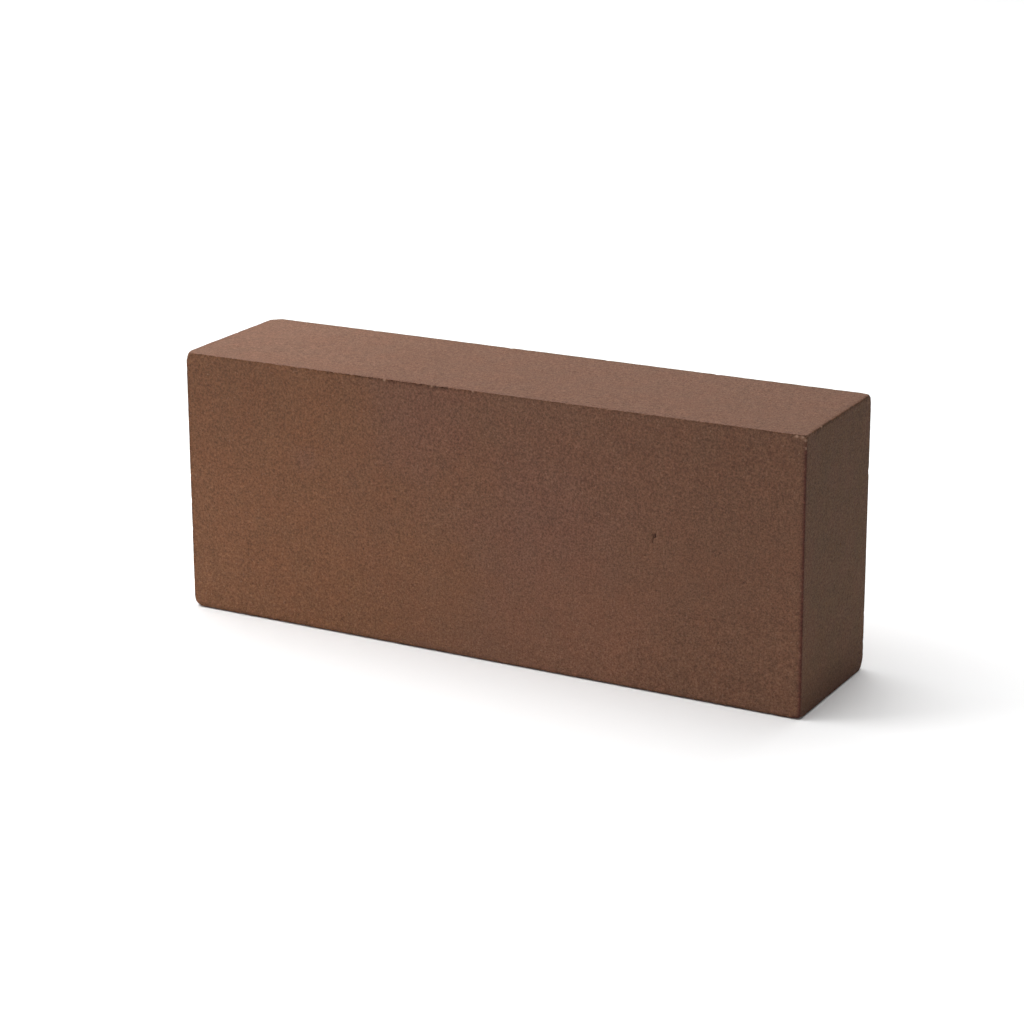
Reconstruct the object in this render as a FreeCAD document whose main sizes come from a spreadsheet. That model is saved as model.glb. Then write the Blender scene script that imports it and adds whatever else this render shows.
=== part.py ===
# A solid facing brick for a full-bed veneer, standing upright on its long narrow face.
#
# Sizes are in millimetres. The brick is one piece of fired clay, so it is one body. The origin is
# the middle of the face it stands on: +X runs along its length, +Y through its thickness from the
# front bed face to the back one, and +Z is up.
import FreeCAD, Part

import os

import Sketcher
from FreeCAD import Placement, Rotation, Vector

PARTS_FOLDER = "parts"
SHEET = "Sizes"

# The driving dimensions: alias, size in mm, what it measures.
SIZES = (
    ("brick_length", 228.0, "from one end face to the other"),
    ("brick_thickness", 54.0, "from the front bed face to the back one"),
    ("brick_height", 92.0, "depth of the bed in the wall, upright here"),
    ("arris_radius", 0.8, "rounding of every straight edge"),
    ("corner_wear", 2.5, "length that each of a corner's three edges has lost"),
)

# Each corner is worn to a small facet, cut off by a prism whose flat end lies on that facet. The
# prism's radius and height are this many times the wear, which covers the whole corner.
CUTTER_SIDES = 6
CUTTER_REACH = 2
# The facet's middle lies this share of the wear inside the sharp corner, along each axis.
FACET_INSET = "1 / 3"

# What a facet takes off is a tetrahedron, a sixth of a cube whose edge is the wear.
CORNERS = 8
TETRAHEDRON_SHARE = 1 / 6
VOLUME_TOLERANCE = 0.001

MM3_PER_CM3 = 1000


def add_sheet(doc):
    """The sheet of driving dimensions, each under its alias."""
    sheet = doc.addObject("Spreadsheet::Sheet", SHEET)
    for row, (alias, size, meaning) in enumerate(SIZES, start=1):
        sheet.set(f"A{row}", meaning)
        sheet.set(f"B{row}", str(size))
        sheet.setAlias(f"B{row}", alias)
    doc.recompute()
    return sheet


def origin_plane(body, role):
    """One of the body's own three origin planes."""
    return next(feature for feature in body.Origin.OriginFeatures if feature.Role == role)


def add_outline(body, sheet):
    """The rectangle of length by thickness, centred on the body's origin."""
    sketch = body.newObject("Sketcher::SketchObject", "Outline")
    sketch.AttachmentSupport = [(origin_plane(body, "XY_Plane"), "")]
    sketch.MapMode = "FlatFace"

    end_x = sheet.brick_length / 2
    face_y = sheet.brick_thickness / 2
    corners = (
        Vector(-end_x, -face_y, 0),
        Vector(end_x, -face_y, 0),
        Vector(end_x, face_y, 0),
        Vector(-end_x, face_y, 0),
    )
    sides = front, right, back, left = range(len(corners))
    for side in sides:
        following = (side + 1) % len(corners)
        sketch.addGeometry(Part.LineSegment(corners[side], corners[following]), False)

    start, end = 1, 2
    for side in sides:
        following = (side + 1) % len(corners)
        sketch.addConstraint(Sketcher.Constraint("Coincident", side, end, following, start))
    for side in (front, back):
        sketch.addConstraint(Sketcher.Constraint("Horizontal", side))
    for side in (right, left):
        sketch.addConstraint(Sketcher.Constraint("Vertical", side))
    origin = (-1, 1)
    sketch.addConstraint(Sketcher.Constraint("Symmetric", front, start, right, end, *origin))

    for side, kind, name, alias in (
        (front, "DistanceX", "length", "brick_length"),
        (right, "DistanceY", "thickness", "brick_thickness"),
    ):
        distance = Sketcher.Constraint(kind, side, start, side, end, sheet.get(alias))
        sketch.renameConstraint(sketch.addConstraint(distance), name)
        sketch.setExpression(f"Constraints.{name}", f"{SHEET}.{alias}")
    return sketch


def add_block(body, outline):
    """The sharp-edged block, half its height above the outline and half below it."""
    block = body.newObject("PartDesign::Pad", "Block")
    block.Profile = outline
    block.SideType = "Symmetric"
    block.setExpression("Length", f"{SHEET}.brick_height")
    return block


def add_corner_wear(body):
    """A small facet across each of the eight corners: one cut, mirrored in the three planes."""
    cut = body.newObject("PartDesign::SubtractivePrism", "CornerCut")
    cut.Polygon = CUTTER_SIDES
    cut.setExpression("Circumradius", f"{SHEET}.corner_wear * {CUTTER_REACH}")
    cut.setExpression("Height", f"{SHEET}.corner_wear * {CUTTER_REACH}")
    upward, out_of_corner = Vector(0, 0, 1), Vector(1, 1, 1)
    cut.Placement = Placement(Vector(), Rotation(upward, out_of_corner))
    for axis, alias in (
        ("x", "brick_length"),
        ("y", "brick_thickness"),
        ("z", "brick_height"),
    ):
        sharp_corner = f"{SHEET}.{alias} / 2"
        inset = f"{SHEET}.corner_wear * {FACET_INSET}"
        cut.setExpression(f"Placement.Base.{axis}", f"{sharp_corner} - {inset}")
    body.Document.recompute()

    corners = body.newObject("PartDesign::MultiTransform", "CornerWear")
    corners.Originals = [cut]
    mirrors = []
    for role in ("YZ_Plane", "XZ_Plane", "XY_Plane"):
        mirror = body.newObject("PartDesign::Mirrored", f"Mirror_{role}")
        mirror.MirrorPlane = (origin_plane(body, role), [""])
        mirrors.append(mirror)
    corners.Transformations = mirrors
    body.Tip = corners
    body.Document.recompute()
    return corners


def add_arrises(body, worn_block):
    """The rounding of all the edges, those of the corner facets included."""
    arrises = body.newObject("PartDesign::Fillet", "Arrises")
    arrises.Base = (worn_block, [""])
    arrises.UseAllEdges = True
    arrises.setExpression("Radius", f"{SHEET}.arris_radius")
    body.Tip = arrises
    return arrises


def add_facing_brick(doc, sheet):
    """The brick, lifted from its own middle until it stands on the plane Z = 0."""
    body = doc.addObject("PartDesign::Body", "FacingBrick")
    body.Label = "facing_brick"
    outline = add_outline(body, sheet)
    add_block(body, outline)
    doc.recompute()
    worn_block = add_corner_wear(body)
    add_arrises(body, worn_block)
    body.setExpression("Placement.Base.z", f"{SHEET}.brick_height / 2")
    doc.recompute()
    return body


def check_states(doc):
    """Stops if any object of the document failed to recompute."""
    failed = [item.Name for item in doc.Objects if {"Invalid", "Error"} & set(item.State)]
    if failed:
        raise RuntimeError(f"these objects failed to recompute: {failed}")


def check_solid(body):
    """Stops unless the body is one valid solid."""
    shape = body.Shape
    if shape.isNull() or not shape.isValid() or len(shape.Solids) != 1:
        raise RuntimeError(f"{body.Label} isn't one valid solid")


def check_corners_cut(doc, sheet):
    """Stops unless the cuts took away a tetrahedron of the stated wear at every corner."""
    removed = doc.Block.Shape.Volume - doc.CornerWear.Shape.Volume
    expected = CORNERS * TETRAHEDRON_SHARE * sheet.corner_wear**3
    if abs(removed - expected) > expected * VOLUME_TOLERANCE:
        raise RuntimeError("the corner cuts don't take away the volume that they should")


def main():
    doc = FreeCAD.newDocument("FacingBrick")
    sheet = add_sheet(doc)
    brick = add_facing_brick(doc, sheet)
    check_states(doc)
    check_solid(brick)
    check_corners_cut(doc, sheet)

    os.makedirs(PARTS_FOLDER, exist_ok=True)
    brick.Shape.exportStep(os.path.join(PARTS_FOLDER, f"{brick.Label}.step"))

    box = brick.Shape.BoundBox
    volume = brick.Shape.Volume / MM3_PER_CM3
    print(f"{brick.Label}: {box.XLength:.3f} x {box.YLength:.3f} x {box.ZLength:.3f} mm")
    print(f"volume {volume:.1f} cm3, {len(brick.Shape.Faces)} faces, lowest Z {box.ZMin:.4f}")


main()
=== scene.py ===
import math

import bpy
import numpy as np
from mathutils import Matrix, Vector, noise
from mathutils.geometry import delaunay_2d_cdt


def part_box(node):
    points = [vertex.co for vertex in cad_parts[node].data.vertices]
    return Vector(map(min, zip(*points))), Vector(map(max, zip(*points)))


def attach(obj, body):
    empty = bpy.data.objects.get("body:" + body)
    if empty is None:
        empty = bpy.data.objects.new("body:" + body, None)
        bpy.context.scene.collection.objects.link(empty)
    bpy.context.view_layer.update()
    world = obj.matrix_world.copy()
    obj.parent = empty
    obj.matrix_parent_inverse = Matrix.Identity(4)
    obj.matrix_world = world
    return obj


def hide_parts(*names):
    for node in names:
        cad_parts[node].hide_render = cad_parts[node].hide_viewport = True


MM = 0.001
SEED = 20

# Mesh: rows of points beside each arris, then two bands of looser points further in.
ARRIS_STEP = 0.52 * MM
ARRIS_ROWS = (0.22 * MM, 0.5 * MM, 0.85 * MM, 1.3 * MM, 1.85 * MM, 2.5 * MM)
INNER_BANDS = ((3.1 * MM, 6.0 * MM, 0.95 * MM), (6.0 * MM, 1.0, 1.5 * MM))
JITTER = 0.18
MERGE_WITHIN = 1e-6

# Wear: each corner's lost edge length, by the side it is on (left or right, front or back, bottom
# or top), and the rounding of the arrises between them.
CORNER_WEAR = {
    (-1, -1, -1): 2.3 * MM,
    (1, -1, -1): 1.5 * MM,
    (-1, 1, -1): 2.2 * MM,
    (1, 1, -1): 2.9 * MM,
    (-1, -1, 1): 2.5 * MM,
    (1, -1, 1): 1.4 * MM,
    (-1, 1, 1): 3.1 * MM,
    (1, 1, 1): 1.4 * MM,
}
ARRIS_RADIUS = 0.55 * MM
CRISP_ARRIS_RADIUS = 0.3 * MM
ARRIS_RADIUS_VARIES = 0.12 * MM
CRISP_REACH = 3 * MM
CORNER_EXTRA_RADIUS = 0.9 * MM
CORNER_EXTRA_REACH = 2.2 * MM
FACET_SOFTNESS = 0.22 * MM

# Relief of the skin: size of its lumps, half of how deep they go, and shift of their noise.
RELIEF = (
    (60 * MM, 0.07 * MM, 11.3),
    (4.5 * MM, 0.022 * MM, 5.7),
    (1.6 * MM, 0.02 * MM, 8.9),
)
# Torn arrises: how far in they are ragged, and how deep, on the ordinary and the crisp one.
ARRIS_REACH = 0.9 * MM
TEAR = 0.03 * MM
CRISP_TEAR = 0.4 * MM

# Out of square: how far each corner of the dried and fired block falls short of a true one,
# along its length, thickness and height.
OUT_OF_SQUARE = {
    (-1, -1, -1): (0.0, 0.0, 0.3 * MM),
    (1, -1, -1): (0.0, 0.8 * MM, 0.3 * MM),
    (-1, -1, 1): (0.6 * MM, 0.1 * MM, 1.0 * MM),
    (1, -1, 1): (0.1 * MM, 0.0, 0.5 * MM),
    (-1, 1, 1): (0.6 * MM, 0.0, 0.0),
    (1, 1, 1): (0.9 * MM, 0.0, 0.0),
    (1, 1, -1): (0.3 * MM, 0.7 * MM, 0.0),
}

# Pits: open pores, with few large ones among many small.
PITS_PER_M2 = 24000
PIT_CLEARANCE = 2.6 * MM
PIT_RADII = (0.2 * MM, 0.55 * MM)
PIT_SKEW = 3.0
PIT_DEPTH_SHARE = (0.45, 0.9)
PIT_SIDES = 5
PIT_RINGS = ((1.0, 0.0), (0.45, 0.85))
PIT_SPACING = 1.6
PIT_MARGIN = 0.1 * MM
PIT_MARGIN_SHARE = 1.35

# Nicks: slits torn in a face, each a line of points along X and Z with its half-width and depth,
# all in mm.
FRONT_NICKS = (
    (((63.8, 53.4), (63.8, 52.5), (63.5, 51.6)), 0.3, 0.8),
    (((63.2, 52.8), (63.0, 51.4), (62.8, 50.0)), 0.2, 0.6),
    (((-67.9, 66.6), (-67.5, 65.6)), 0.25, 0.35),
    (((-9.5, 31.0), (-8.9, 30.2)), 0.22, 0.3),
    (((21.6, 70.4), (22.5, 70.1)), 0.24, 0.3),
)
NICK_STEP = 0.4 * MM
NICK_CLEARANCE = 0.45 * MM
NICK_PIT_CLEARANCE = 1.2 * MM

# Chips: crumbs broken out of the arrises, more of them along one stretch and at one corner.
CHIPS_PER_M = 60
CHIP_RADII = (0.5 * MM, 1.5 * MM)
CHIP_DEPTHS = (0.04 * MM, 0.18 * MM)
CRUMBLY_CHIPS = 40
CRUMBLY_STRETCH = (-55 * MM, -5 * MM)
CRUMBLY_RADII = (0.5 * MM, 1.2 * MM)
CRUMBLY_DEPTHS = (0.3 * MM, 0.75 * MM)
CORNER_CHIPS = 7
CORNER_CHIPS_SPAN = 6 * MM
CORNER_CHIP_RADII = (0.5 * MM, 1.1 * MM)
CORNER_CHIP_DEPTHS = (0.2 * MM, 0.5 * MM)
CHIP_SEARCH = 2.6 * MM
# The depth at which the pore and chip attributes reach 1, and how strong the painted shade on an
# ordinary arris is.
FULL_DEPTH = 0.3 * MM
ORDINARY_RIM_SHADE = 0.55

# Pale crumbs of sand that cling to the arrises: place from the brick's middle, and radius, in mm.
CRUMBS = (
    ((-34.7, -27, 45.6), 0.6),
    ((-16.8, -27, 45.8), 0.45),
    ((-1.5, -27, 45.8), 0.45),
    ((110.6, -27, 45.4), 0.6),
    ((112.4, -26.8, 45.4), 0.6),
    ((113.6, -27, 44.4), 0.55),
    ((113.8, -27, 41.9), 0.45),
    ((114.0, -15.0, 46.0), 0.6),
)

# Where each face lies on the flat sheet that its colours are baked on, in mm: its lower left corner
# by axis and side. The sheet is a square.
CHART_CORNERS = {
    (1, -1): (3, 3),
    (1, 1): (3, 98),
    (2, 1): (3, 193),
    (2, -1): (3, 250),
    (0, 1): (235, 3),
    (0, -1): (235, 98),
}
CHART_SHEET = 307

CLAY = "fired_clay"
NODE = "facing_brick"


def noise_at(points, feature, shift):
    """Smooth noise from -1 to 1 at each point, with lumps of about the feature's size."""
    offset = Vector((shift, 1.7 * shift, -0.6 * shift))
    return np.array([noise.noise(Vector(p) / feature + offset) for p in points.tolist()])


# ---------------------------------------------------------------- the mesh's points and triangles


def loop_points(half_u, half_v, inset, step):
    """Evenly spaced points round a rectangle that lies inset from the face's border."""
    a, b = half_u - inset, half_v - inset
    nu, nv = max(2, round(2 * a / step)), max(2, round(2 * b / step))
    u, v = np.linspace(-a, a, nu + 1), np.linspace(-b, b, nv + 1)
    sides = [
        np.stack([u, np.full_like(u, -b)], 1),
        np.stack([u, np.full_like(u, b)], 1),
        np.stack([np.full(nv - 1, -a), v[1:-1]], 1),
        np.stack([np.full(nv - 1, a), v[1:-1]], 1),
    ]
    return np.concatenate(sides)


def border_distance(points, half_u, half_v):
    return np.minimum(half_u - abs(points[:, 0]), half_v - abs(points[:, 1]))


def band_points(half_u, half_v, nearest, furthest, step):
    """A staggered grid of points that lie between two distances from the face's border."""
    row_step = step * math.sqrt(3) / 2
    rows = np.arange(-half_v + nearest, half_v, row_step)
    columns = np.arange(-half_u + nearest, half_u, step)
    grid = np.array([(u + (i % 2) * step / 2, v) for i, v in enumerate(rows) for u in columns])
    distance = border_distance(grid, half_u, half_v)
    return grid[(distance >= nearest) & (distance < furthest)]


def pit_points(half_u, half_v, rng):
    """Small open pores: rings of points with a deeper middle. Gives points, depths and pits."""
    count = int(4 * half_u * half_v * PITS_PER_M2)
    centres = rng.uniform(-1, 1, (count, 2)) * (half_u - PIT_CLEARANCE, half_v - PIT_CLEARANCE)
    radii = PIT_RADII[0] + (PIT_RADII[1] - PIT_RADII[0]) * rng.random(count) ** PIT_SKEW
    kept = []
    for i in range(count):
        gaps = (math.dist(centres[i], centres[j]) / (radii[i] + radii[j]) for j in kept)
        if all(gap >= PIT_SPACING for gap in gaps):
            kept.append(i)
    points, depths = [], []
    for i in kept:
        depth = radii[i] * rng.uniform(*PIT_DEPTH_SHARE)
        start = rng.uniform(0, math.tau)
        squash = rng.uniform(0.65, 1.0)
        turn = rng.uniform(0, math.pi)
        for share, level in PIT_RINGS:
            for k in range(PIT_SIDES):
                angle = start + math.tau * k / PIT_SIDES
                reach = radii[i] * share * rng.uniform(0.85, 1.1)
                x, y = reach * math.cos(angle), reach * squash * math.sin(angle)
                u = centres[i][0] + x * math.cos(turn) - y * math.sin(turn)
                v = centres[i][1] + x * math.sin(turn) + y * math.cos(turn)
                points.append((u, v))
                depths.append(depth * level)
    return np.array(points), np.array(depths), centres[kept], radii[kept]


def nick_points(height):
    """The front face's nicks: rows of points along each, deep in the middle, level outside."""
    points, depths = [], []
    for line, half_width, deep in FRONT_NICKS:
        line = np.array(line) * MM
        for start, end in zip(line[:-1], line[1:]):
            length = math.dist(start, end)
            across = np.array([start[1] - end[1], end[0] - start[0]]) / length
            for share in np.linspace(0, 1, max(2, round(length / NICK_STEP)), endpoint=False):
                middle = start + share * (end - start)
                for side in (-1, 0, 1):
                    x, z = middle + side * half_width * MM * across
                    points.append((z - height / 2, x))
                    depths.append(deep * MM * (1 - abs(side)))
    return np.array(points), np.array(depths)


def face_mesh(half_u, half_v, rng, nicks=None):
    """One face of the block as a Delaunay mesh: points, pit depths and triangles."""
    border = loop_points(half_u, half_v, 0, ARRIS_STEP)
    inner = []
    for i, inset in enumerate(ARRIS_ROWS):
        row = loop_points(half_u, half_v, inset, ARRIS_STEP * (1 + 0.1 * i))
        inner.append(row + rng.uniform(-1, 1, row.shape) * JITTER * inset)
    for nearest, furthest, step in INNER_BANDS:
        band = band_points(half_u, half_v, nearest, furthest, step)
        inner.append(band + rng.uniform(-1, 1, band.shape) * JITTER * step)
    inner = np.concatenate(inner)
    pits, depths, centres, radii = pit_points(half_u, half_v, rng)
    free = np.ones(len(inner), bool)
    for centre, radius in zip(centres, radii):
        free &= ((inner - centre) ** 2).sum(1) > (PIT_MARGIN_SHARE * radius + PIT_MARGIN) ** 2
    if nicks:
        for place in nicks[0]:
            free &= ((inner - place) ** 2).sum(1) > NICK_CLEARANCE**2
            clear = ((pits - place) ** 2).sum(1) > NICK_PIT_CLEARANCE**2
            pits, depths = pits[clear], depths[clear]
        pits, depths = np.concatenate([pits, nicks[0]]), np.concatenate([depths, nicks[1]])
    inner = inner[free]
    points = np.concatenate([border, inner, pits])
    depth = np.concatenate([np.zeros(len(border) + len(inner)), depths])
    made, _, triangles, source, _, _ = delaunay_2d_cdt(
        [Vector(p) for p in points.tolist()], [], [], 0, MERGE_WITHIN, True
    )
    origin = [ids[0] for ids in source]
    return points[origin], depth[origin], np.array(triangles)


def block_mesh(half):
    """The block's six faces joined along their borders.

    Gives points, pit depths, triangles and each triangle's three places on the flat charts.
    """
    rng = np.random.default_rng(SEED)
    all_points, all_depths, all_triangles, all_charts, count = [], [], [], [], 0
    for axis in range(3):
        for side in (-1, 1):
            u_axis, v_axis = (axis + 1) % 3, (axis + 2) % 3
            nicks = nick_points(2 * half[2]) if (axis, side) == (1, -1) else None
            flat, depth, triangles = face_mesh(half[u_axis], half[v_axis], rng, nicks)
            points = np.zeros((len(flat), 3))
            points[:, u_axis], points[:, v_axis] = flat[:, 0], flat[:, 1]
            points[:, axis] = side * half[axis]
            all_points.append(points)
            all_depths.append(depth)
            triangles = triangles if side > 0 else triangles[:, ::-1]
            all_triangles.append(triangles + count)
            all_charts.append(chart_places(points, axis, side, half)[triangles])
            count += len(points)
    points = np.concatenate(all_points)
    keys = np.round(points / MERGE_WITHIN).astype(np.int64)
    _, first, merged = np.unique(keys, axis=0, return_index=True, return_inverse=True)
    triangles = merged.ravel()[np.concatenate(all_triangles)]
    depths = np.concatenate(all_depths)[first]
    return points[first], depths, triangles, np.concatenate(all_charts)


def chart_places(points, axis, side, half):
    """The points of one face laid flat on the sheet, from 0 to 1 each way."""
    u_axis, v_axis = {0: (1, 2), 1: (0, 2), 2: (0, 1)}[axis]
    flat = points[:, (u_axis, v_axis)] + half[[u_axis, v_axis]]
    return (flat / MM + CHART_CORNERS[axis, side]) / CHART_SHEET


# ---------------------------------------------------------------- wear and relief


def arris_distance(points, half):
    """How far each point of the block's surface is from the nearest arris."""
    return np.sort(half - abs(points), axis=1)[:, 1]


def beside_arris(points, half):
    """1 on an arris, falling softly to 0 over about ARRIS_REACH."""
    return np.exp(-((arris_distance(points, half) / ARRIS_REACH) ** 2))


def crisp_share(points, half):
    """1 beside the arris between the front and the upper face, which kept its edge, else 0."""
    away = np.hypot(half[1] + points[:, 1], half[2] - points[:, 2])
    return np.clip(1.5 - away / CRISP_REACH, 0, 1)


def corner_distance(points, half):
    return np.linalg.norm(half - abs(points), axis=1)


def rounded(points, half):
    """Rounds the arrises, more so at the corners. Gives the new points and outward normals."""
    crisp = crisp_share(points, half)
    radius = ARRIS_RADIUS + (CRISP_ARRIS_RADIUS - ARRIS_RADIUS) * crisp
    radius += ARRIS_RADIUS_VARIES * noise_at(points, 9 * MM, 3.1)
    at_corner = np.exp(-((corner_distance(points, half) / CORNER_EXTRA_REACH) ** 2))
    radius += CORNER_EXTRA_RADIUS * at_corner
    inner = half - radius[:, None]
    core = np.clip(points, -inner, inner)
    out = points - core
    out /= np.linalg.norm(out, axis=1)[:, None]
    return core + out * radius[:, None], out


def cut_corners(points, half, rng):
    """Takes each corner back to a soft, slightly skewed facet."""
    for corner, wear in CORNER_WEAR.items():
        legs = wear * rng.uniform(0.85, 1.2, 3)
        sign = np.array(corner)
        inwards = (half - points * sign) / legs
        slope = 1 / legs
        steepness = np.linalg.norm(slope)
        beyond = (1 - inwards.sum(1)) / steepness
        push = FACET_SOFTNESS * np.logaddexp(0, beyond / FACET_SOFTNESS)
        push[beyond < -6 * FACET_SOFTNESS] = 0
        points = points - push[:, None] * (sign * slope / steepness)
    return points


def chip_depth(points, half, rng):
    """Crumbs broken out of the arrises: scattered all round, thicker along one stretch."""
    depth = np.zeros(len(points))
    near = np.flatnonzero(arris_distance(points, half) < CHIP_SEARCH)
    close = points[near]
    chips = []
    for axis in range(3):
        for side_a in (-1, 1):
            for side_b in (-1, 1):
                count = int(2 * half[axis] * CHIPS_PER_M)
                for along in rng.uniform(-half[axis], half[axis], count):
                    centre = np.zeros(3)
                    centre[axis] = along
                    centre[(axis + 1) % 3] = side_a * half[(axis + 1) % 3]
                    centre[(axis + 2) % 3] = side_b * half[(axis + 2) % 3]
                    chips.append((centre, rng.uniform(*CHIP_RADII), rng.uniform(*CHIP_DEPTHS)))
    for _ in range(CRUMBLY_CHIPS):
        centre = np.array([rng.uniform(*CRUMBLY_STRETCH), -half[1], half[2]])
        chips.append((centre, rng.uniform(*CRUMBLY_RADII), rng.uniform(*CRUMBLY_DEPTHS)))
    for _ in range(CORNER_CHIPS):
        centre = np.array([half[0] - rng.uniform(0, CORNER_CHIPS_SPAN), -half[1], half[2]])
        chips.append((centre, rng.uniform(*CORNER_CHIP_RADII), rng.uniform(*CORNER_CHIP_DEPTHS)))
    for centre, radius, deep in chips:
        closeness = 1 - ((close - centre) ** 2).sum(1) / radius**2
        depth[near] = np.maximum(depth[near], deep * np.clip(closeness, 0, 1))
    return depth


def surface_relief(points, half):
    """How far the skin lies below a true plane: slow waves, lumps, sand and ragged arrises."""
    skin = sum(deep * (1 + noise_at(points, size, shift)) for size, deep, shift in RELIEF)
    ragged = noise_at(points, 1.1 * MM, 2.3) + 0.6 * noise_at(points, 2.7 * MM, 6.1)
    tear = TEAR + CRISP_TEAR * crisp_share(points, half)
    return skin + tear * beside_arris(points, half) * np.clip(ragged + 0.1, 0, 2)


def skewed(points, half):
    """Moves the corners in by OUT_OF_SQUARE, and what lies between them in proportion."""
    share = points / half
    moved = points.copy()
    for corner, inwards in OUT_OF_SQUARE.items():
        sign = np.array(corner)
        weight = ((1 + share * sign) / 2).prod(1)
        moved -= weight[:, None] * sign * np.array(inwards)
    return moved


def crumb_values(points):
    """1 on the pale crumbs of sand, 0 away from them."""
    values = np.zeros(len(points))
    for place, radius in CRUMBS:
        reach = np.linalg.norm(points - np.array(place) * MM, axis=1) / (radius * MM)
        values = np.maximum(values, np.clip(1.3 - reach, 0, 1))
    return values


def arris_values(points, half):
    """How much painted shade each point has on the arrises, and how red it is on the one from front
    to right end.
    """
    beside = beside_arris(points, half)
    crisp = crisp_share(points, half)
    from_front = half[1] + points[:, 1]
    front = np.clip(1 - from_front / (0.4 * MM), 0, 1)
    front_right = (points[:, 0] > 0) & (points[:, 1] < 0) & (half[0] - points[:, 0] < 3 * MM)
    front_right &= from_front < 3 * MM
    middle, reach = np.mean(CRUMBLY_STRETCH), np.ptp(CRUMBLY_STRETCH) / 2
    # Painted shade along the crisp arris, on its front side, strongest on the crumbled stretch.
    crumbly = np.clip(1.6 - abs(points[:, 0] - middle) / reach, 0.25, 0.8)
    ordinary = np.where(front_right, 0.0, ORDINARY_RIM_SHADE)
    rim = beside * np.where(crisp > 0, front * crumbly, ordinary)
    return rim, beside * front_right * (1 - crisp)


def add_attribute(mesh, name, values):
    """One number for each point of the mesh, which the clay's material reads by its name."""
    attribute = mesh.attributes.new(name, "FLOAT", "POINT")
    attribute.data.foreach_set("value", values.astype(np.float32))


def make_brick(low, high):
    """The brick's mesh object, inside the box that the plain block fills."""
    centre = (np.array(low) + np.array(high)) / 2
    half = (np.array(high) - np.array(low)) / 2
    block, pit_depth, triangles, charts = block_mesh(half)
    rng = np.random.default_rng(SEED + 1)
    points, out = rounded(block, half)
    chips = chip_depth(block, half, rng)
    depth = surface_relief(block, half) + pit_depth + chips
    points = points - out * depth[:, None]
    points = cut_corners(points, half, rng)
    points = skewed(points, half) + centre
    mesh = bpy.data.meshes.new("brick")
    mesh.from_pydata(points.tolist(), [], triangles.tolist())
    mesh.shade_smooth()
    sheet = mesh.uv_layers.new(name="OFBake")
    sheet.uv.foreach_set("vector", charts.ravel().astype(np.float32))
    rim, red = arris_values(block, half)
    add_attribute(mesh, "pore", pit_depth / FULL_DEPTH)
    add_attribute(mesh, "chip", chips / FULL_DEPTH)
    add_attribute(mesh, "pale", crumb_values(block))
    add_attribute(mesh, "rim", rim)
    add_attribute(mesh, "red_arris", red)
    mesh.update()
    brick = bpy.data.objects.new("brick", mesh)
    bpy.context.scene.collection.objects.link(brick)
    return brick


# ---------------------------------------------------------------- materials


class Nodes:
    """A short way to add and join the nodes of one material."""

    def __init__(self, material):
        material.use_nodes = True
        self.tree = material.node_tree
        self.shader = self.tree.nodes["Principled BSDF"]

    def add(self, kind, inputs=(), **settings):
        node = self.tree.nodes.new(kind)
        for name, value in settings.items():
            setattr(node, name, value)
        for name, value in dict(inputs).items():
            self.set(node, name, value)
        return node

    def set(self, node, name, value):
        if isinstance(value, bpy.types.NodeSocket):
            self.tree.links.new(value, node.inputs[name])
        else:
            node.inputs[name].default_value = value

    def place(self):
        return self.add("ShaderNodeTexCoord").outputs["Object"]

    def parts(self, vector):
        """The X, Y and Z of a vector."""
        return self.add("ShaderNodeSeparateXYZ", {"Vector": vector}).outputs

    def attribute(self, name):
        return self.add("ShaderNodeAttribute", attribute_name=name).outputs["Fac"]

    def noise(self, size, detail, roughness=0.5, shift=0.0):
        """Noise from 0 to 1 whose lumps are about that size."""
        offset = (shift, -shift, 2 * shift)
        moved = self.add("ShaderNodeVectorMath", {0: self.place(), 1: offset}, operation="ADD")
        inputs = {
            "Vector": moved.outputs["Vector"],
            "Scale": 1 / size,
            "Detail": detail,
            "Roughness": roughness,
        }
        return self.add("ShaderNodeTexNoise", inputs).outputs["Fac"]

    def spread(self, value, low, high, to_low=0.0, to_high=1.0, smooth=False):
        """The value's range from low to high, stretched to another range and clamped there."""
        inputs = {"Value": value, "From Min": low, "From Max": high}
        inputs.update({"To Min": to_low, "To Max": to_high})
        kind = "SMOOTHSTEP" if smooth else "LINEAR"
        return self.add("ShaderNodeMapRange", inputs, interpolation_type=kind).outputs["Result"]

    def near(self, centre, reach, strength):
        """The strength close to a place, falling softly to 0 at the reach, with a wavy outline."""
        wave = self.add("ShaderNodeTexNoise", {"Vector": self.place(), "Scale": 90, "Detail": 2})
        warp = self.add(
            "ShaderNodeVectorMath",
            {0: wave.outputs["Color"], 1: (reach, reach, reach), 2: self.place()},
            operation="MULTIPLY_ADD",
        )
        half = tuple(value + reach / 2 for value in centre)
        distance = self.add(
            "ShaderNodeVectorMath", {0: warp.outputs["Vector"], 1: half}, operation="DISTANCE"
        )
        return self.spread(distance.outputs["Value"], 0.1 * reach, reach, strength, 0, smooth=True)

    def sum(self, a, b):
        return self.add("ShaderNodeMath", {0: a, 1: b}, operation="ADD").outputs["Value"]

    def product(self, first, *others):
        for other in others:
            node = self.add("ShaderNodeMath", {0: first, 1: other}, operation="MULTIPLY")
            first = node.outputs["Value"]
        return first

    def blend(self, share, a, b, kind="MIX"):
        """The colour a, with that share of it given over to the colour b."""
        node = self.add("ShaderNodeMix", data_type="RGBA", blend_type=kind)
        for index, value in ((0, share), (6, a), (7, b)):
            self.set(node, index, value)
        return node.outputs[2]


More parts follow.
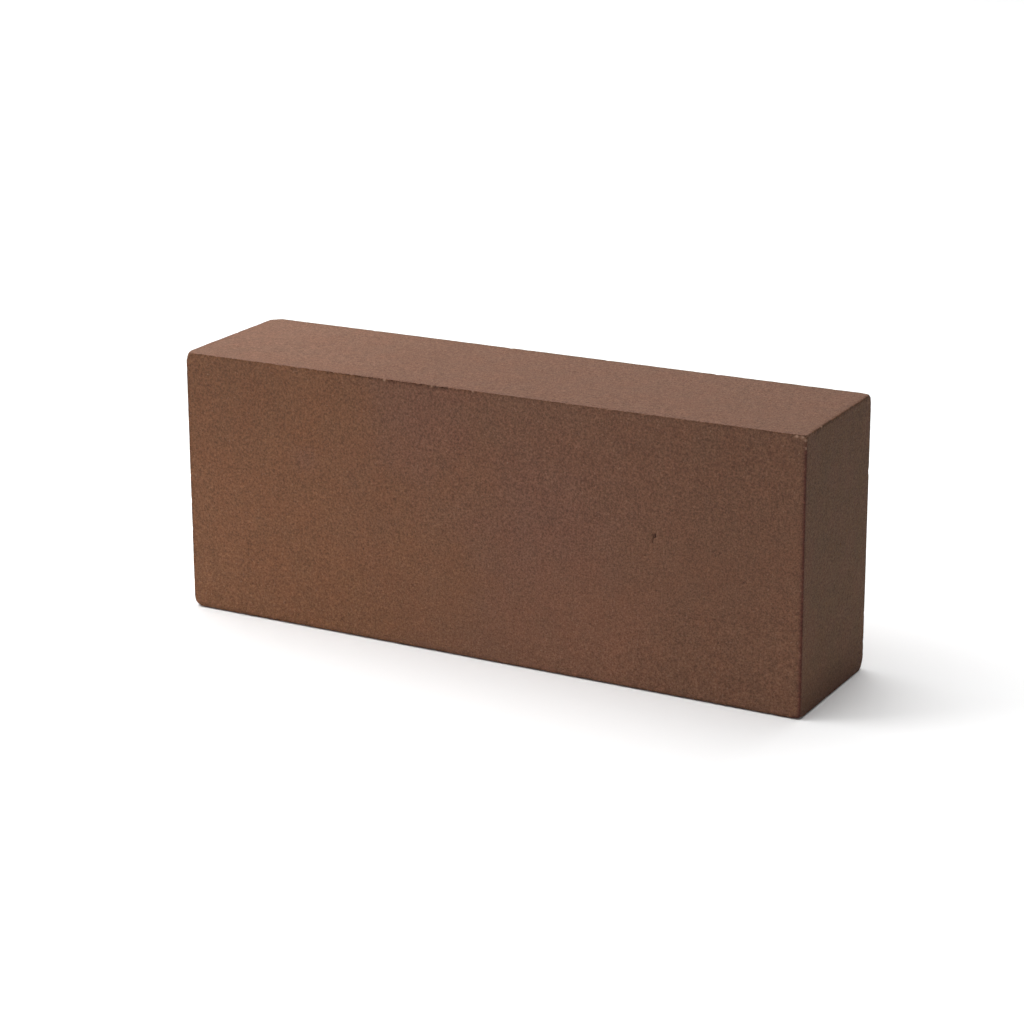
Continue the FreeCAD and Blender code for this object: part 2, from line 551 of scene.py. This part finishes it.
BROWN = (0.143, 0.0655, 0.0375, 1)
ORANGE_BROWN = (0.152, 0.0655, 0.0310, 1)
DULL_ORANGE_BROWN = (0.134, 0.0580, 0.0280, 1)
WARM_BROWN = (0.156, 0.0690, 0.0395, 1)
PURPLE_BROWN = (0.144, 0.0640, 0.0400, 1)
GREY_BROWN = (0.135, 0.0620, 0.0348, 1)
OLIVE_BROWN = (0.118, 0.0600, 0.0300, 1)
# Dust and painted sheen on the upper face; the paler one also holds painted light from the left.
DUST_AND_SHEEN_BROWN = (0.182, 0.0905, 0.0570, 1)
LEFT_LIT_DUST_AND_SHEEN_BROWN = (0.214, 0.1130, 0.0760, 1)
RED_BROWN = (0.076, 0.0215, 0.0130, 1)
# Painted shade on the arrises and in the chips.
PAINTED_SHADE_BROWN = (0.036, 0.0180, 0.0115, 1)
# Painted shade at the foot of the right end.
FOOT_SHADE_BROWN = (0.080, 0.0340, 0.0180, 1)
# Painted shade in the nicks and the deepest pores.
NICK_AND_DEEP_PORE_SHADE = (0.020, 0.0090, 0.0060, 1)
# The dark of the clay's speckles, also used as painted shade in the pores.
SPECK_AND_PORE_SHADE = (0.045, 0.021, 0.014, 1)
PALE_GRIT = (0.27, 0.155, 0.105, 1)

# How far slow clouds swing the red, green and blue either way.
HUE_SWINGS = (0.016, -0.01, -0.02)

# Flashing: soft patches of another brown on the front, by place (X and Z), reach and strength.
PATCHES = (
    (-98 * MM, 80 * MM, 34 * MM, DULL_ORANGE_BROWN, 0.6),
    (40 * MM, 12 * MM, 44 * MM, WARM_BROWN, 0.8),
    (-44 * MM, 68 * MM, 18 * MM, ORANGE_BROWN, 0.4),
    (-18 * MM, 20 * MM, 32 * MM, ORANGE_BROWN, 0.45),
    (-20 * MM, 78 * MM, 30 * MM, PURPLE_BROWN, 0.7),
    (25 * MM, 52 * MM, 38 * MM, PURPLE_BROWN, 0.7),
    (-66 * MM, 60 * MM, 8 * MM, PURPLE_BROWN, 0.5),
)


def clay_material():
    """Matt brown fired clay: slow mottled tones, sandy grain, dark speckles and pale grit, with
    painted light and shade: sheen on the upper face, light towards the left and the foot, shade on
    the arrises, in the chips, pores and nicks, and at the foot of the right end.
    """
    material = bpy.data.materials.new(CLAY)
    n = Nodes(material)
    place = n.parts(n.place())
    facing = n.parts(n.add("ShaderNodeTexCoord").outputs["Normal"])
    rim = n.attribute("rim")
    grain = n.noise(0.52 * MM, 2, 0.6)

    drift = n.sum(place["X"], n.spread(n.noise(50 * MM, 3), 0.3, 0.7, -30 * MM, 30 * MM))
    colour = flashed_colour_and_painted_light(n, drift)
    colour = face_tints_and_painted_sheen(n, colour, drift, facing)
    colour = arris_tints_and_painted_shade(n, colour, rim)
    colour = painted_foot_shade(n, colour, place, facing)
    colour = n.blend(1.0, colour, mottling_and_painted_light(n, place, grain), "MULTIPLY")
    n.set(n.shader, "Base Color", specks_and_pore_shade(n, colour))

    n.set(n.shader, "Roughness", n.spread(grain, 0.3, 0.7, 0.95, 0.82))
    n.set(n.shader, "Specular IOR Level", n.spread(rim, 0.0, 0.8, 0.3, 0.0))
    height = n.sum(n.noise(0.75 * MM, 2, shift=5.0), n.noise(0.45 * MM, 1, shift=2.0))
    bump = n.add("ShaderNodeBump", {"Strength": 1.0, "Distance": 0.4 * MM, "Height": height})
    n.set(n.shader, "Normal", bump.outputs["Normal"])
    return material


def flashed_colour_and_painted_light(n, drift):
    """Browns that drift along the brick, lighter and more orange at the left, darker and greyer at
    the right, partly as painted light from the left, and the soft patches on its front.
    """
    # The fall to a darker grey towards the right is partly painted light from the left.
    colour = n.blend(n.spread(drift, -75 * MM, 10 * MM, smooth=True), ORANGE_BROWN, BROWN)
    colour = n.blend(n.spread(drift, 20 * MM, 100 * MM, smooth=True), colour, GREY_BROWN)
    for x, z, reach, tint, strength in PATCHES:
        colour = n.blend(n.near((x, -27 * MM, z), reach, strength), colour, tint)
    return colour


def face_tints_and_painted_sheen(n, colour, drift, facing):
    """An upper face tinted with dust and painted sheen, paler towards the left with painted light,
    and a clouded olive right end.
    """
    # Painted light: the upper face is paler towards the left.
    dust_and_sheen = n.blend(n.spread(drift, -105 * MM, -15 * MM), LEFT_LIT_DUST_AND_SHEEN_BROWN, DUST_AND_SHEEN_BROWN)
    # Dust and painted sheen on the upper face.
    colour = n.blend(n.spread(facing["Z"], 0.6, 0.95, 0.0, 0.75), colour, dust_and_sheen)
    cloud = n.spread(n.noise(11 * MM, 3, shift=6.0), 0.35, 0.6, 0.5, 1.0, smooth=True)
    olive = n.product(n.spread(facing["X"], 0.6, 0.95), cloud)
    return n.blend(olive, colour, OLIVE_BROWN)


def arris_tints_and_painted_shade(n, colour, rim):
    """One red arris, painted shade along the others and in their broken notches, and painted shade
    in the chips.
    """
    colour = n.blend(n.spread(n.attribute("red_arris"), 0.0, 0.9), colour, RED_BROWN)
    # Painted shade along the arrises, patchy where crumbs broke out.
    crumbs = n.spread(n.noise(1.6 * MM, 2, shift=7.0), 0.38, 0.58, 0.25, 1.0)
    colour = n.blend(n.product(rim, crumbs), colour, PAINTED_SHADE_BROWN)
    # Painted shade in the chips.
    return n.blend(n.spread(n.attribute("chip"), 0.6, 1.6, 0.0, 0.7), colour, PAINTED_SHADE_BROWN)


def painted_foot_shade(n, colour, place, facing):
    """Painted shade at the foot of the right end."""
    low_down = n.spread(place["Z"], 0.0, 13 * MM, 0.75, 0.0)
    foot = n.product(low_down, n.spread(facing["X"], 0.6, 0.95))
    return n.blend(foot, colour, FOOT_SHADE_BROWN)


def mottling_and_painted_light(n, place, grain):
    """Factors on the colour: grain, lumps and broad clouds, and painted light that makes it lighter
    towards the foot and left.
    """
    lumps = n.spread(n.noise(1.1 * MM, 0, shift=8.0), 0.25, 0.75, 0.86, 1.14)
    fine = n.product(n.spread(grain, 0.25, 0.75, 0.58, 1.42), lumps)
    broad = n.spread(n.noise(4 * MM, 4, 0.7, shift=1.0), 0.3, 0.7, 0.93, 1.07)
    # Painted light: lighter towards the foot and the left, darker towards the top and the right.
    painted_light_by_height = n.spread(place["Z"], 5 * MM, 90 * MM, 1.12, 0.92)
    painted_light_from_left = n.spread(place["X"], -100 * MM, 100 * MM, 1.05, 0.97)
    shade = n.product(n.product(fine, broad), n.product(painted_light_by_height, painted_light_from_left))
    hue = n.noise(9 * MM, 3, shift=12.0)
    shades = {
        channel: n.product(shade, n.spread(hue, 0.35, 0.65, 1 - swing, 1 + swing))
        for channel, swing in enumerate(HUE_SWINGS)
    }
    return n.add("ShaderNodeCombineColor", shades).outputs["Color"]


def specks_and_pore_shade(n, colour):
    """Dark speckles, pale grit, painted shade in the pores and nicks, and the pale crumbs on the
    arrises.
    """
    speckle = n.noise(0.6 * MM, 1, shift=9.0)
    colour = n.blend(n.spread(speckle, 0.2, 0.34, 0.5, 0.0), colour, SPECK_AND_PORE_SHADE)
    grit = n.noise(0.6 * MM, 1, shift=4.0)
    colour = n.blend(n.spread(grit, 0.65, 0.8, 0.0, 0.45), colour, PALE_GRIT)
    # Painted shade in the pores and nicks, darker where they go deeper.
    pore = n.attribute("pore")
    colour = n.blend(n.spread(pore, 0.1, 2.0, 0.0, 0.6), colour, SPECK_AND_PORE_SHADE)
    colour = n.blend(n.spread(pore, 0.7, 1.6, 0.0, 0.75), colour, NICK_AND_DEEP_PORE_SHADE)
    return n.blend(n.spread(n.attribute("pale"), 0.0, 0.8), colour, PALE_GRIT)


def floor_material():
    """Plain pale matt floor."""
    material = bpy.data.materials.new("pale_floor")
    n = Nodes(material)
    n.set(n.shader, "Base Color", (0.92, 0.92, 0.92, 1))
    n.set(n.shader, "Roughness", 0.9)
    n.set(n.shader, "Specular IOR Level", 0.2)
    return material


# ---------------------------------------------------------------- floor, light and camera


FLOOR_SIZE = 8


def make_floor():
    bpy.ops.mesh.primitive_plane_add(size=FLOOR_SIZE)
    floor = bpy.context.object
    floor.name = "floor"
    floor.data.materials.append(floor_material())


# Soft boxes: name, place, point it faces, width, depth and power in watts.
LIGHTS = (
    ("overhead_left", (-0.9, 0.6, 1.7), (-0.9, 0.6, 0), 2.6, 3.6, 58.5),
    ("overhead", (0, 0.4, 1.8), (0, 0.4, 0), 3.6, 4.0, 21),
    ("left", (-0.5, -0.3, 0.55), (-0.05, 0, 0.06), 0.4, 0.4, 2.4),
    ("back", (-0.3, 1.6, 1.0), (0, 0, 0.05), 1.6, 1.0, 5),
    ("front", (-0.6, -1.6, 0.7), (0, 0, 0.05), 1.2, 1.2, 4.0),
    ("right", (1.3, -0.5, 0.6), (0.1, 0, 0.03), 1.2, 1.0, 1.1),
)
WORLD_STRENGTH = 0.08


def make_light(name, place, aim, width, depth, power):
    lamp = bpy.data.lights.new(name, "AREA")
    lamp.shape = "RECTANGLE"
    lamp.size = width
    lamp.size_y = depth
    lamp.energy = power
    light = bpy.data.objects.new(name, lamp)
    light.location = place
    light.rotation_euler = (Vector(aim) - Vector(place)).to_track_quat("-Z", "Y").to_euler()
    bpy.context.scene.collection.objects.link(light)


def make_world(strength):
    world = bpy.data.worlds.new("studio")
    world.use_nodes = True
    background = world.node_tree.nodes["Background"]
    background.inputs["Color"].default_value = (1, 1, 1, 1)
    background.inputs["Strength"].default_value = strength
    bpy.context.scene.world = world


# The camera: place, angles in degrees (azimuth, elevation downwards, roll), lens and sensor in mm.
CAMERA_PLACE = (0.407, -0.7312, 0.3028)
CAMERA_AZIMUTH = 29.226
CAMERA_ELEVATION = 17.209
CAMERA_ROLL = -0.263
CAMERA_LENS = 92.775
SENSOR_WIDTH = 36


def make_camera():
    azimuth, elevation, roll = (
        math.radians(angle) for angle in (CAMERA_AZIMUTH, CAMERA_ELEVATION, CAMERA_ROLL)
    )
    turn = (
        Matrix.Rotation(azimuth, 3, "Z")
        @ Matrix.Rotation(math.pi / 2 - elevation, 3, "X")
        @ Matrix.Rotation(roll, 3, "Z")
    )
    data = bpy.data.cameras.new("camera")
    data.lens = CAMERA_LENS
    data.sensor_width = SENSOR_WIDTH
    camera = bpy.data.objects.new("camera", data)
    camera.matrix_world = Matrix.Translation(CAMERA_PLACE) @ turn.to_4x4()
    bpy.context.scene.collection.objects.link(camera)
    bpy.context.scene.camera = camera


# ---------------------------------------------------------------- the scene

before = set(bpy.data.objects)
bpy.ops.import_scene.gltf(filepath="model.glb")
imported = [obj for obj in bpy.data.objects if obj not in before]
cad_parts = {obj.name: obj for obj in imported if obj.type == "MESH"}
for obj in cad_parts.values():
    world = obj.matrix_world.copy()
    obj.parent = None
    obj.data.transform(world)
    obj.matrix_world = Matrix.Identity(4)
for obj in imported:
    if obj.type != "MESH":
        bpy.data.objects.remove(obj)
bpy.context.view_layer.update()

make_camera()
make_floor()
make_world(WORLD_STRENGTH)
for light in LIGHTS:
    make_light(*light)
bpy.context.scene.view_settings.view_transform = "Standard"

brick = make_brick(*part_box(NODE))
brick.data.materials.append(clay_material())
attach(brick, "root")
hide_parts(NODE)
